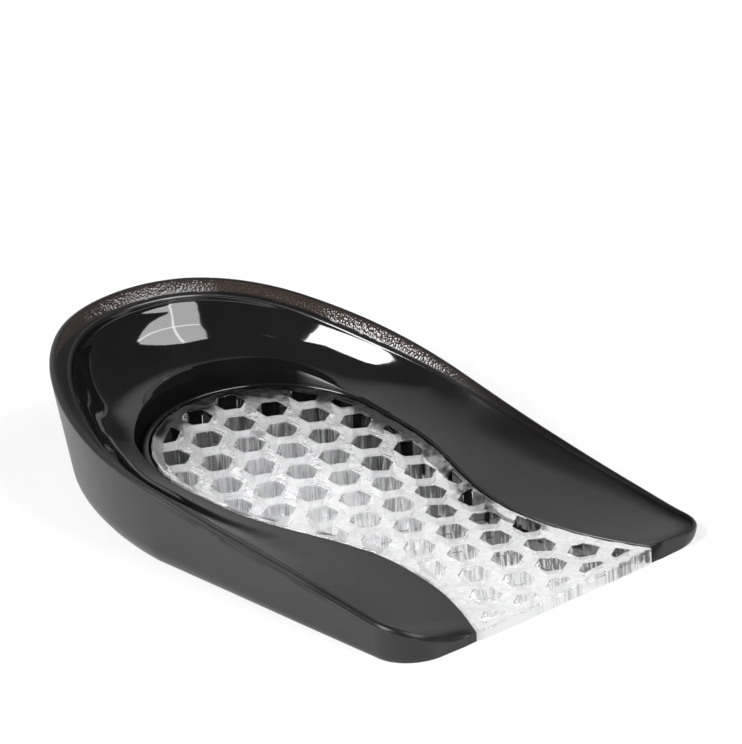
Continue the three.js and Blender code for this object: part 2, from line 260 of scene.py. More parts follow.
def cup_section(s):
    """The section at every station: distance a from the core's edge outwards, height z,
    how much each point belongs to the grainy rim and the glossy inside, and how far each station is towards the heel."""
    width = np.hypot(s["ox"] - s["ix"], s["oy"] - s["iy"])
    rim = s["rim"]
    fit = np.clip(width / 9, 0, 1)
    lip = np.minimum(s["lip"], 0.4 * width)
    ro, ri = np.minimum(RIM_OUTER * fit, 0.3 * rim), np.minimum(RIM_INNER * fit, 0.3 * rim)
    foot, taper, fall = np.minimum(s["foot"] * fit, 0.45 * rim), s["taper"] * fit, LIP_FALL * fit
    core = core_top(s["ix"], s["iy"])
    ledge = np.minimum(STEP_LEDGE * np.clip(s["step"] / 1.5, 0, 1), 0.2 * width)
    riser = np.minimum(STEP_RISER * np.clip(s["step"] / 1.5, 0, 1) + 0.02, 0.1 * width)
    edge = np.minimum(0.16, 0.05 * width)
    ledge = np.maximum(ledge, edge + 0.02)
    floor, start = core + s["step"], ledge + riser
    lip_top = rim - fall - 0.6 * ri
    heel = smooth((rim - 9.0) / 7.0)

    A, Z, GRAIN, INSIDE = [], [], [], []

    def put(a, z, grain=0.0, inside=0.0):
        A.append(a + 0 * width)
        Z.append(z + 0 * width)
        GRAIN.append(grain + 0 * width)
        INSIDE.append(inside + 0 * width)

    def wall(z):
        return width - taper * (1 - z / (rim - ro))

    # underside and foot
    foot_in = wall(0 * rim) - FOOT_WIDTH * foot
    for t in (0.012, 0.05, 0.5, 0.97):
        put(t * foot_in, 0.0)
    for p in np.linspace(0, math.pi / 2, 10):
        z = foot * (1 - math.cos(p))
        put(wall(z) - FOOT_WIDTH * foot * (1 - math.sin(p)), z)
    # outer wall, with the thin parting crease just under the rim of the left wing
    high = rim - ro
    room = high - foot
    crease_at = high - np.minimum(0.30, 0.12 * room)
    crease_half = np.minimum(0.20, 0.09 * room)
    left_wing = np.where(s["side"] < 0, smooth((s["y"] + 42) / 5) * smooth((7 - s["y"]) / 9), 0.0)
    broken = 0.55 + 0.45 * noise(np.stack([s["along"], 0 * width, 0 * width], 1), 7.0, 5)
    crease = left_wing * np.clip(broken * 1.5, 0, 1) * 0.17
    for t in np.linspace(0, 1, 13)[1:]:
        z = lerp(foot, crease_at - crease_half, t)
        put(wall(z), z)
    for t, deep in ((-0.45, 0.75), (0.0, 1.0), (0.45, 0.75), (1.0, -0.35), (1.5, -0.15)):
        z = crease_at + t * crease_half
        put(wall(z) - crease * deep, z)
    # rounded outer edge of the rim, duller towards the tip of the left wing
    tip = np.where(s["side"] < 0, smooth((-24 - s["y"]) / 8), 0.0)
    for p in np.linspace(0, math.pi / 2, 9):
        put(width - ro * (1 - math.cos(p)), rim - ro * (1 - math.sin(p)), grain=0.25 * (p / (math.pi / 2)) ** 2,
            inside=-0.6 * tip)
    # lip, rounded over towards the inside
    a0, a1 = width - ro, width - lip + ri
    fall = fall * lerp(1.0, 3.3, heel)
    drop = 0.6 * ri * lerp(0.12, 1.0, heel)
    lip_top = rim - fall - drop
    reach = np.where(s["side"] < 0, lerp(1.0, 0.42, smooth((47 - s["y"]) / 9)), 1.0)
    soft = np.where(s["side"] < 0, lerp(0.16, 0.5, smooth((46 - s["y"]) / 12)), 0.16)
    right_wing = np.where(s["side"] > 0, smooth((4 - s["y"]) / 14), 0.0)
    first_top = len(A)
    # between the two sparkling stretches the rim is dull
    dull = np.where(s["side"] > 0, 0.9 * smooth((s["y"] - 25.5) / 4) * smooth((43.8 - s["y"]) / 2), 0.0)
    for t in np.linspace(0, 1, 15)[1:]:
        put(lerp(a0, a1, t), rim - fall * t ** 1.6,
            grain=(0.15 + 0.85 * smooth((t - 0.12) / 0.2)) * smooth((reach - t) / soft) * lerp(1.0, 0.35, right_wing),
            inside=-dull * smooth(t / 0.4))
    # crest at its inner side
    for p in np.linspace(0, math.pi / 2, 7)[1:]:
        put(width - lip + ri * (1 - math.sin(p)), rim - fall - drop * (1 - math.cos(p)),
            grain=0.1 * (1 - p / (math.pi / 2)), inside=lerp(-dull, 1.0, (p / (math.pi / 2)) ** 2))
    # bowl, with a shallow groove under the lip round the heel
    most = math.radians(72)
    undercut = np.where(s["side"] > 0, lerp(0.0, 0.15, smooth((s["y"] - 33) / 13)), 0.15)
    for p in np.linspace(most, 0, 44)[1:]:
        t = (math.sin(p) / math.sin(most)) ** (2 / s["bowl"])
        g = (1 - math.cos(p) ** (2 / s["bowl"])) / (1 - math.cos(most) ** (2 / s["bowl"]))
        z = lerp(floor, lip_top, g)
        below = lip_top - z
        groove = undercut * heel * np.exp(-((below - 0.75) / 0.42) ** 2)
        put(lerp(start, width - lip, t) + groove, z, inside=1.0)
    # step down to the ledge at the core's level
    raised = np.clip(s["step"] / 1.5, 0, 1)
    for t in (0.12, 0.3, 0.5, 0.7, 0.86, 0.96):
        put(lerp(start, ledge + 0.01, t), lerp(floor, core - 0.34 * raised, t ** 2.2)
            + 0.05 * raised * math.exp(-((t - 0.1) / 0.1) ** 2), inside=lerp(0.6, -1.0, raised))
    put(ledge + 0.01, core - 0.40 * raised, inside=lerp(0.6, -1.0, raised))
    put(lerp(edge, ledge, 0.5), core - 0.17 * raised, inside=lerp(0.6, -1.0, raised))
    # down the side that faces the core
    for p in (0.0, 0.35, 0.7, 1.0):
        q = p * math.pi / 2
        put(edge * (1 - math.sin(q)), core - edge * (1 - math.cos(q)), inside=0.8)
    put(0.0, 0.5 * core)
    put(0.0, 0.03 * core)
    A, Z, GRAIN, INSIDE = (np.stack(v, 1) for v in (A, Z, GRAIN, INSIDE))
    # the outer margin of the right wing is duller
    wide = lerp(8.8, 12.6, smooth((s["y"] + 40.0) / 26.0))
    margin = (right_wing * 0.9)[:, None] * smooth((wide[:, None] - (width[:, None] - A)) / 8.0)
    margin[:, :first_top] = 0.0
    return A, Z, GRAIN, lerp(INSIDE, -1.0, margin), heel


def grid_normals(P):
    """Normals of a grid of points (stations, section points, 3), closed along the section."""
    du = np.gradient(P, axis=0)
    dv = np.roll(P, -1, 1) - np.roll(P, 1, 1)
    n = np.cross(du, dv)
    return n / np.maximum(np.linalg.norm(n, axis=2, keepdims=True), 1e-9)


def flat_cap(P):
    """Triangles over one flat outline of points (n, 3)."""
    origin = P.mean(0)
    u, s_, vt = np.linalg.svd(P - origin)
    flat = (P - origin) @ vt[:2].T
    n = len(P)
    ring = list(range(n))
    turned = np.cross(flat, np.roll(flat, -1, 0)).sum() < 0
    out = delaunay_2d_cdt([Vector(p) for p in flat], [(k, (k + 1) % n) for k in range(n)],
                          [ring[::-1] if turned else ring], 1, 1e-7)
    return [[out[3][k][0] for k in f] for f in out[2]]


def build_cup(material):
    s = cup_stations()
    A, Z, grain, inside, heel = cup_section(s)
    width = np.hypot(s["ox"] - s["ix"], s["oy"] - s["iy"])
    ux, uy = (s["ox"] - s["ix"]) / width, (s["oy"] - s["iy"]) / width
    P = np.stack([s["ix"][:, None] + ux[:, None] * A, s["iy"][:, None] + uy[:, None] * A, Z], 2)
    n_u, n_v = P.shape[:2]
    N = grid_normals(P)
    flat = P.reshape(-1, 3)
    # the moulded rim is grainy, and the whole skin is very slightly uneven
    coarse = noise(flat, 0.62, 11)
    fine = noise(flat, 0.36, 12)
    rough_rim = grain * np.clip(0.25 + heel[:, None], 0, 1)
    lift = rough_rim.reshape(-1) * (0.026 * coarse + 0.024 * fine)
    above = np.clip(flat[:, 2] / 1.0, 0, 1)
    lift = lift + above * 0.018 * noise(flat, 5.5, 13)
    flat = flat + N.reshape(-1, 3) * lift[:, None]
    flat[:, 2] = np.maximum(flat[:, 2], 0.0)
    i = np.arange(n_u - 1)[:, None]
    j = np.arange(n_v)[None, :]
    a, b = i * n_v + j, i * n_v + (j + 1) % n_v
    quads = np.stack([a, b, b + n_v, a + n_v], 2).reshape(-1, 4)
    # face outwards
    v = flat[quads]
    volume = np.einsum("ij,ij->i", v[:, 0], np.cross(v[:, 1], v[:, 2])).sum() \
        + np.einsum("ij,ij->i", v[:, 0], np.cross(v[:, 2], v[:, 3])).sum()
    if volume < 0:
        quads = quads[:, ::-1]
    caps = []
    for ring in (0, n_u - 1):
        ids = np.arange(n_v) + ring * n_v
        pts = flat[ids]
        tris = np.array([[ids[k] for k in f] for f in flat_cap(pts)])
        out = flat[ids].mean(0) - flat[np.arange(n_v) + (1 if ring == 0 else n_u - 2) * n_v].mean(0)
        c = np.cross(flat[tris[:, 1]] - flat[tris[:, 0]], flat[tris[:, 2]] - flat[tris[:, 0]])
        if (c @ out).sum() < 0:
            tris = tris[:, ::-1]
        caps.append(tris)
    obj = mesh_object("heel_cup_gel", flat, [quads] + caps, [material], sharp=50,
                      attributes=(("rim_grain", rough_rim.reshape(-1)), ("inside", inside.reshape(-1))))
    return obj


# -------------------------------------------------------------- honeycomb core

EDGE_SOFT = 0.22       # rounding of the core's own top edge
CELL_SOFT = 0.09       # rounding of the cells' top edges
ARCH = (-4.0, 9.0)     # the underside comes clear of the ground between these
BOND_FRONT = -25.0     # the core is bonded to the cup behind about this
POINT_GAP = 0.17       # distance between points round a cell
BACKED = (0.62, 0.78)  # towards the thick black back and right of the cup


def resample(loop, gap):
    """A closed polyline with even spacing."""
    closed = np.vstack([loop, loop[:1]])
    run = np.concatenate([[0], np.cumsum(np.linalg.norm(np.diff(closed, axis=0), axis=1))])
    count = int(round(run[-1] / gap))
    at = np.arange(count) / count * run[-1]
    return np.stack([np.interp(at, run, closed[:, k]) for k in range(2)], 1)


def core_outline():
    """The core's outline in plan, anticlockwise, with slightly rounded front corners."""
    t = np.linspace(0, 1, 400)
    y = FRONT + t * (CORE_CENTRE - FRONT)
    angle = np.linspace(0, math.pi / 2, 200)
    ry = np.concatenate([y[:-1], CORE_CENTRE + CORE_ROUND * np.sin(angle)])
    rx = np.concatenate([core_half(y[:-1]), CORE_ROUND * np.cos(angle)])
    right = np.stack([CORE_MIDDLE + rx, ry], 1)
    left = np.stack([CORE_MIDDLE - rx, ry], 1)[::-1][1:]
    loop = resample(np.vstack([right, left]), 0.12)
    for _ in range(6):
        loop = 0.5 * loop + 0.25 * (np.roll(loop, 1, 0) + np.roll(loop, -1, 0))
    return resample(loop, 0.3)


def loop_normals(loop):
    d = np.roll(loop, -1, 0) - np.roll(loop, 1, 0)
    n = np.stack([d[:, 1], -d[:, 0]], 1)
    return n / np.linalg.norm(n, axis=1, keepdims=True)


def clip(outline, n, d):
    kept = []
    for k, p in enumerate(outline):
        q = outline[(k + 1) % len(outline)]
        a, b = n @ p - d, n @ q - d
        if a <= 0:
            kept.append(p)
        if a * b < 0:
            kept.append(p + (q - p) * (a / (a - b)))
    return [p for k, p in enumerate(kept) if np.linalg.norm(p - kept[(k + 1) % len(kept)]) > 0.12]


def polygon_area(outline):
    x, y = np.array(outline).T
    return 0.5 * float(np.sum(x * np.roll(y, -1) - y * np.roll(x, -1)))


def cell_limits(x, y):
    side = -1 if x < CORE_MIDDLE else 1
    v = np.linspace(max(FRONT, y - 9), min(CORE_CENTRE + CORE_ROUND - 1e-3, y + 9), 241)
    px = CORE_MIDDLE + side * core_half(v)
    k = int(np.argmin(np.hypot(px - x, v - y)))
    slope = float(core_half(v[k] + 1e-3) - core_half(v[k] - 1e-3)) / 2e-3
    n = np.array([side, -slope]) / math.hypot(1, slope)
    waist = float(smooth((-5 - y) / 6) * smooth((y + 37) / 5)) if side > 0 else 0.0
    return [(np.array([0.0, -1.0]), -(FRONT + BORDER)),
            (n, float(n @ np.array([px[k], v[k]])) - lerp(BORDER, BORDER_WAIST, waist))]


def cell_outlines():
    """Corner points of every cell, anticlockwise, cut off at the core's border."""
    cells = []
    for row in range(LATTICE_ROWS):
        shift = 0.5 if row % 2 else 0.0
        for column in range(-LATTICE_COLUMNS, LATTICE_COLUMNS + 1):
            x, y = LATTICE_X + (column + shift) * PITCH, LATTICE_Y - row * ROW
            if abs(x - CORE_MIDDLE) > float(core_half(y)) + PITCH:
                continue
            turn = math.pi / 2 + np.arange(6) * math.pi / 3
            outline = [np.array([x + CELL_RADIUS * math.cos(a), y + CELL_RADIUS * math.sin(a)]) for a in turn]
            whole = polygon_area(outline)
            for n, d in cell_limits(x, y):
                outline = clip(outline, n, d) if len(outline) > 2 else outline
            if len(outline) > 2 and polygon_area(outline) > LATTICE_LEAST * whole:
                cells.append(np.array(outline))
    return cells


class Cell:
    """A convex outline with rounded corners that can be grown or shrunk ring by ring."""

    def __init__(self, corners, rounding):
        self.middle = corners.mean(0)
        edges = np.roll(corners, -1, 0) - corners
        lengths = np.linalg.norm(edges, axis=1)
        normals = np.stack([edges[:, 1], -edges[:, 0]], 1) / lengths[:, None]
        self.r = min(rounding, 0.2 * lengths.min())
        # corners of the outline moved in by r
        before = np.roll(normals, 1, 0)
        cosine = np.einsum("ij,ij->i", before, normals)
        self.corner = corners - self.r * (before + normals) / (1 + cosine)[:, None]
        self.before, self.normals = before, normals
        self.steps = np.maximum(2, np.round(lengths / POINT_GAP).astype(int))

    def ring(self, grow):
        """Points and outward normals of the outline grown by grow."""
        points, out = [], []
        m = len(self.corner)
        for k in range(m):
            arc = []
            for t in (0.0, 0.5, 1.0):
                n = lerp(self.before[k], self.normals[k], t)
                n = n / np.linalg.norm(n)
                arc.append((self.corner[k] + n * (self.r + grow), n))
            q = self.corner[(k + 1) % m] + self.normals[k] * (self.r + grow)
            p = arc[-1][0]
            run = [(p + (q - p) * t, self.normals[k]) for t in np.arange(1, self.steps[k]) / self.steps[k]]
            for c, n in arc + run:
                points.append(c)
                out.append(n)
        return np.array(points), np.array(out)


def inside_polygon(points, polygon):
    x, y = points[:, 0][:, None], points[:, 1][:, None]
    px, py = polygon[:, 0], polygon[:, 1]
    qx, qy = np.roll(px, -1), np.roll(py, -1)
    crosses = (py > y) != (qy > y)
    with np.errstate(divide="ignore", invalid="ignore"):
        at = (qx - px) * (y - py) / (qy - py) + px
    return (crosses & (x < at)).sum(1) % 2 == 1


LUMP = (1.25, 17.45, 0.95, 0.42)      # a smooth lump of gel beside one cell: x, y, size, height


# short slits in the left border, each from x, y to x, y; they are sunk a little and painted dark, painted shade for the
# hollows
SLITS = ((-17.2, 4.2, -16.2, 0.3), (-14.8, -0.7, -14.4, -3.2), (-12.5, -10.6, -10.7, -13.2))


def slit(x, y):
    """How much a point of the core's top lies in one of the slits."""
    total = 0 * x
    for ax, ay, bx, by in SLITS:
        t = np.clip(((x - ax) * (bx - ax) + (y - ay) * (by - ay)) / ((bx - ax) ** 2 + (by - ay) ** 2), 0, 1)
        total = total + np.exp(-((x - lerp(ax, bx, t)) ** 2 + (y - lerp(ay, by, t)) ** 2) / 0.5 ** 2)
    return np.minimum(total, 1.0)


def uneven_top(x, y):
    """Height of the core's moulded top: the plain wedge with sinks, ripples, a fine pebble,
    slits and one lump. The field of cells lies a little lower at the left of the heel and along
    the right of the waist."""
    p = np.stack([x, y, 0 * x], 1)
    edge = np.minimum(core_half(y) - np.abs(x - CORE_MIDDLE), CORE_CENTRE + CORE_ROUND - y)
    field = smooth((edge - 0.2) / 2.2)
    low = (0.75 * smooth((-3.0 - x) / 9.0) * smooth((y + 8.0) / 12.0)
           + 0.55 * smooth((x - 3.5) / 6.0) * smooth((2.0 - y) / 12.0) * smooth((y + 46.0) / 8.0))
    lump = LUMP[3] * np.exp(-((x - LUMP[0]) ** 2 + (y - LUMP[1]) ** 2) / LUMP[2] ** 2)
    return (core_top(x, y) - field * low + 0.05 * noise(p, 2.6, 31) + 0.035 * noise(p, 1.15, 32)
            + 0.026 * noise(p, 0.62, 33) + lump - 0.06 - 0.22 * slit(x, y))


def build_core(clear, black, skin, base_skin, facet, face):
    points, faces, side_strips, wall_strips, shades = [], [], set(), set(), []
    total = 0

    def add(p, shade=0.0):
        nonlocal total
        first = total
        points.append(np.asarray(p, float))
        shades.append(shade + np.zeros(len(p)))
        total += len(p)
        return np.arange(first, total)

    def strip(a, b):
        faces.append(np.stack([a, np.roll(a, -1), np.roll(b, -1), b], 1))

    # outer wall, from the top edge down to the ground
    outline = core_outline()
    out = loop_normals(outline)
    ragged = 0.09 * noise(np.column_stack([outline, 0 * outline[:, 0]]), 1.6, 43) + 0.06 * noise(np.column_stack([outline, 0 * outline[:, 0]]), 0.7, 44)
    outline = outline + out * ragged[:, None]
    rim = outline - out * EDGE_SOFT
    top_loop = add(np.column_stack([rim, uneven_top(rim[:, 0], rim[:, 1])]))
    previous = top_loop
    for p in np.linspace(0, math.pi / 2, 5)[1:]:
        xy = outline - out * EDGE_SOFT * (1 - math.sin(p))
        z = uneven_top(rim[:, 0], rim[:, 1]) - EDGE_SOFT * (1 - math.cos(p))
        ring = add(np.column_stack([xy, z]))
        strip(ring, previous)
        previous = ring
    base = uneven_top(rim[:, 0], rim[:, 1]) - EDGE_SOFT
    front = smooth((-out[:, 1] - 0.8) / 0.15)
    # painted shade on the front face: dark streaks that grow towards the right, none at the left
    face_shade = front * (lerp(-0.35, 0.12, smooth((outline[:, 0] + 8.0) / 10.0)) + lerp(0.15, 0.75, smooth((outline[:, 0] + 2.0) / 9.0)) * noise(np.column_stack([outline, 0 * base]), 2.4, 42))
    for t in (0.9, 0.8, 0.7, 0.6, 0.5, 0.4, 0.3, 0.2, 0.1):
        wave = lerp(0.03, 0.10, front) * noise(np.column_stack([outline, 0 * base + 3 * t]), (0.75, 0.75, 6.0), 41)
        ring = add(np.column_stack([outline - out * (0.02 + np.abs(wave))[:, None], base * t]), face_shade)
        side_strips.add(len(faces))
        strip(ring, previous)
        previous = ring
    ring = add(np.column_stack([outline - out * 0.12, 0 * base]))
    side_strips.add(len(faces))
    strip(ring, previous)
    bottom = ring

    # cells
    outside = len(faces)
    cells, loops, beads = [Cell(c, 0.13) for c in cell_outlines()], [], []
    # painted shade: the walls of the cells beside the thick back and right of the cup are painted darker, for its black
    # seen through the gel
    backing = outline[(out @ np.array(BACKED) > 0.42) & (front < 0.5)]
    for number, cell in enumerate(cells):
        away = float(np.linalg.norm(backing - cell.middle, axis=1).min())
        reach = lerp(6.3, 8.6, smooth((cell.middle[1] - 8.0) / 14.0))
        shade = min(1.6, max(1.74 + 0.02 * reach - (away - 4.0) / reach, 0.20 - 0.015 * (away - 13.7), 0.05))
        xy, n = cell.ring(CELL_SOFT)
        edge_z = uneven_top(xy[:, 0], xy[:, 1]) + 0.02
        previous = add(np.column_stack([xy, edge_z]))
        loops.append(previous)
        # a low bead round the mouth
        for grow, rise in ((0.13, 0.045), (0.30, 0.012)):
            xy, n = cell.ring(CELL_SOFT + grow)
            beads.append(np.column_stack([xy, uneven_top(xy[:, 0], xy[:, 1]) + rise])[::2])
        # a flow line that runs part of the way round it
        if len(cell.corner) == 6 and number % 4 != 1:
            start = 2.1 * float(noise(np.array([[5.0 * number, 0.0, 0.0]]), 1.0, 91)[0])
            turn = np.linspace(start - 1.3, start + 0.9, 26)
            for radius, rise in ((2.82, 0.0), (2.91, 0.055), (3.02, 0.0)):
                xy = cell.middle + radius * np.stack([np.cos(turn), np.sin(turn)], 1)
                fade = np.sin(np.linspace(0.0, math.pi, 26))
                beads.append(np.column_stack([xy, uneven_top(xy[:, 0], xy[:, 1]) + rise * fade]))
        for p in np.linspace(0, math.pi / 2, 4)[1:]:
            xy, n = cell.ring(CELL_SOFT * (1 - math.sin(p)))
            ring = add(np.column_stack([xy, edge_z - CELL_SOFT * (1 - math.cos(p))]), shade * float(p > 1.5))
            strip(ring, previous)
            previous = ring
        high = edge_z - CELL_SOFT
        around = np.column_stack([xy * 1.0, np.full(len(xy), 7.0 * number)])
        ripple = 0.020 * noise(around, (0.42, 0.42, 1.0), 51) + 0.020 * noise(around, (1.3, 1.3, 1.0), 52)
        depth = high - CELL_FLOOR
        for t in (0.10, 0.5, 0.93):
            shrink = -CELL_DRAFT * t
            xy, n = cell.ring(shrink)
            xy = xy + n * (ripple * float(smooth(t / 0.25)))[:, None]
            ring = add(np.column_stack([xy, high - depth * t]), shade)
            wall_strips.add(len(faces))
            strip(ring, previous)
            previous = ring
        for grow, down in ((-CELL_DRAFT - 0.06, 0.985), (-CELL_DRAFT - 0.2, 1.0)):
            xy, n = cell.ring(grow)
            ring = add(np.column_stack([xy + n * ripple[:, None] * 0.5, high - depth * down]), shade)
            strip(ring, previous)
            previous = ring
        middle = add([[cell.middle[0], cell.middle[1], CELL_FLOOR + 0.02]], shade)
        faces.append(np.stack([np.roll(previous, -1), np.full(len(previous), middle[0]), previous], 1))

    # top between the cells
    all_points = np.vstack(points)
    fixed = np.concatenate([top_loop] + loops)
    flat = all_points[fixed][:, :2]
    where = {int(v): k for k, v in enumerate(fixed)}
    edges = [(where[int(a)], where[int(b)]) for loop in [top_loop] + loops for a, b in zip(loop, np.roll(loop, -1))]
    gx, gy = np.meshgrid(np.arange(-19, 20, 0.36), np.arange(FRONT + 0.4, CORE_CENTRE + CORE_ROUND, 0.31))
    gx = gx + 0.18 * (np.arange(gx.shape[0]) % 2)[:, None]
    grid = np.stack([gx.ravel(), gy.ravel()], 1)
    grid = grid + 0.06 * np.stack([noise(np.column_stack([grid, 0 * grid[:, 0]]), 0.4, 61),
                                   noise(np.column_stack([grid, 0 * grid[:, 0]]), 0.4, 62)], 1)
    keep = inside_polygon(grid, all_points[top_loop][:, :2])
    for loop in loops:
        keep &= ~inside_polygon(grid, all_points[loop][:, :2])
    grid = grid[keep]
    bead = np.vstack(beads)
    taken = KDTree(len(flat) + len(bead))
    for k, p in enumerate(np.vstack([flat, bead[:, :2]])):
        taken.insert((p[0], p[1], 0.0), k)
    taken.balance()
    near = np.array([taken.find((p[0], p[1], 0.0))[2] for p in grid])
    grid = grid[near > 0.17]
    extra = add(np.vstack([bead, np.column_stack([grid, uneven_top(grid[:, 0], grid[:, 1])])]))
    grid = np.vstack([bead[:, :2], grid])
    inputs = [Vector(p) for p in np.vstack([flat, grid])]
    ids = np.concatenate([fixed, extra])
    verts, _, tris, original, _, _ = delaunay_2d_cdt(inputs, edges, [], 0, 1e-6)
    tris = np.array(tris)
    index = np.array([ids[o[0]] for o in original])
    centre = np.array([v[:] for v in verts])[tris].mean(1)
    keep = inside_polygon(centre, all_points[top_loop][:, :2])
    for loop in loops:
        keep &= ~inside_polygon(centre, all_points[loop][:, :2])
    top = index[tris[keep]]
    xyz = np.vstack(points)
    up = np.cross(xyz[top[:, 1]] - xyz[top[:, 0]], xyz[top[:, 2]] - xyz[top[:, 0]])[:, 2]
    top[up < 0] = top[up < 0][:, ::-1]
    top_number = len(faces)
    faces.append(top)

    # underside: the tacky front lies flat on the ground, the heel end only in patches
    ring = list(range(len(bottom)))
    flat = xyz[bottom][:, :2]
    gx, gy = np.meshgrid(np.arange(-18, 19, 1.1), np.arange(FRONT + 1, CORE_CENTRE + CORE_ROUND, 1.1))
    grid = np.stack([gx.ravel(), gy.ravel()], 1)
    grid = grid[inside_polygon(grid, flat * np.array([0.97, 0.985]))]
    arch = smooth((grid[:, 1] - ARCH[0]) / (ARCH[1] - ARCH[0]))
    clear_of_ground = 0.04 + 0.05 * (arch - 0.5) + 0.02 * noise(np.column_stack([grid, 0 * arch]), 4.0, 71)
    inner = add(np.column_stack([grid, np.maximum(0.0, clear_of_ground)]))
    xyz = np.vstack(points)
    ids = np.concatenate([bottom, inner])
    verts, _, tris, original, _, _ = delaunay_2d_cdt([Vector(p) for p in np.vstack([flat, grid])], [], [ring], 1, 1e-6)
    under = np.array([[ids[original[k][0]] for k in f] for f in tris])
    up = np.cross(xyz[under[:, 1]] - xyz[under[:, 0]], xyz[under[:, 2]] - xyz[under[:, 0]])[:, 2]
    under[up > 0] = under[up > 0][:, ::-1]
    faces.append(under)
    # where the core meets the black cup its side takes the cup's colour; its front stays clear
    slots = []
    for k, f in enumerate(faces):
        middle = xyz[f].mean(1)
        bond = BOND_FRONT + 16.0 * (middle[:, 2] / core_top(middle[:, 0], middle[:, 1]) - 0.5) + 2.5 * noise(middle, 2.0, 81)
        side = (k in side_strips) & (middle[:, 1] > bond)
        slot = np.where(side, 1, {top_number: 2, len(faces) - 1: 3}.get(k, 5 if k < outside else 0))
        # the walls that face the back take the milky facet material: painted light
        if k in wall_strips:
            corner = xyz[f]
            inward = np.cross(corner[:, 3] - corner[:, 0], corner[:, 1] - corner[:, 0])
            inward = inward / np.linalg.norm(inward, axis=1, keepdims=True)
            slot = np.where(inward[:, :2] @ np.array(BACKED) > 0.3, 4, slot)
        slots.append(slot)
    # painted shade: the skin's colour is darker along the border against the black back and right of the cup, for its
    # black seen through the gel, and a little less white towards the front
    tree = KDTree(len(backing))
    for k, p in enumerate(backing):
        tree.insert((p[0], p[1], 0.0), k)
    tree.balance()
    apart = np.array([tree.find((p[0], p[1], 0.0))[2] for p in xyz])
    x, y = xyz[:, 0], xyz[:, 1]
    milk_and_painted_shade = smooth((apart - lerp(2.0, 2.6, smooth((y - 14.0) / 8.0)) + 0.8 * noise(xyz, 1.1, 83)) / 2.5) + smooth((-18.0 - y) / 8.0)
    milk_and_painted_shade = np.clip(milk_and_painted_shade, 0, 1) * lerp(1.0, 0.78, smooth((8.0 - y) / 24.0))
    # and streaky along the right of the waist
    tree = KDTree(len(outline))
    for k, p in enumerate(outline):
        tree.insert((p[0], p[1], 0.0), k)
    tree.balance()
    gap = np.array([tree.find((p[0], p[1], 0.0))[2] for p in xyz])
    streaky = smooth((x - 3.0) / 4.0) * smooth((4.0 - y) / 8.0) * smooth((y + 26.0) / 6.0) * smooth((2.7 - gap) / 1.2)
    milk_and_painted_shade = lerp(milk_and_painted_shade, 0.30 + 0.9 * noise(xyz, 0.9, 84) + 0.4 * noise(xyz, 0.45, 85), streaky)
    # painted shade: the slits are painted dark
    milk_and_painted_shade = milk_and_painted_shade * (1 - slit(x, y))
    return mesh_object("honeycomb_core_gel", xyz, faces, [clear, black, skin, base_skin, facet, face], sharp=42, slots=slots,
                       attributes=(("shade", np.concatenate(shades)), ("milk_and_painted_shade", np.clip(milk_and_painted_shade, 0, 1))))


# ------------------------------------------------------------------- materials

def new_material(name):
    material = bpy.data.materials.new(name)
    material.use_nodes = True
    tree = material.node_tree
    tree.nodes.clear()
    output = tree.nodes.new("ShaderNodeOutputMaterial")
    shader = tree.nodes.new("ShaderNodeBsdfPrincipled")
    tree.links.new(shader.outputs["BSDF"], output.inputs["Surface"])
    return material, tree, shader


def add_node(tree, kind, **inputs):
    node = tree.nodes.new(kind)
    for key, value in inputs.items():
        node.inputs[key].default_value = value
    return node


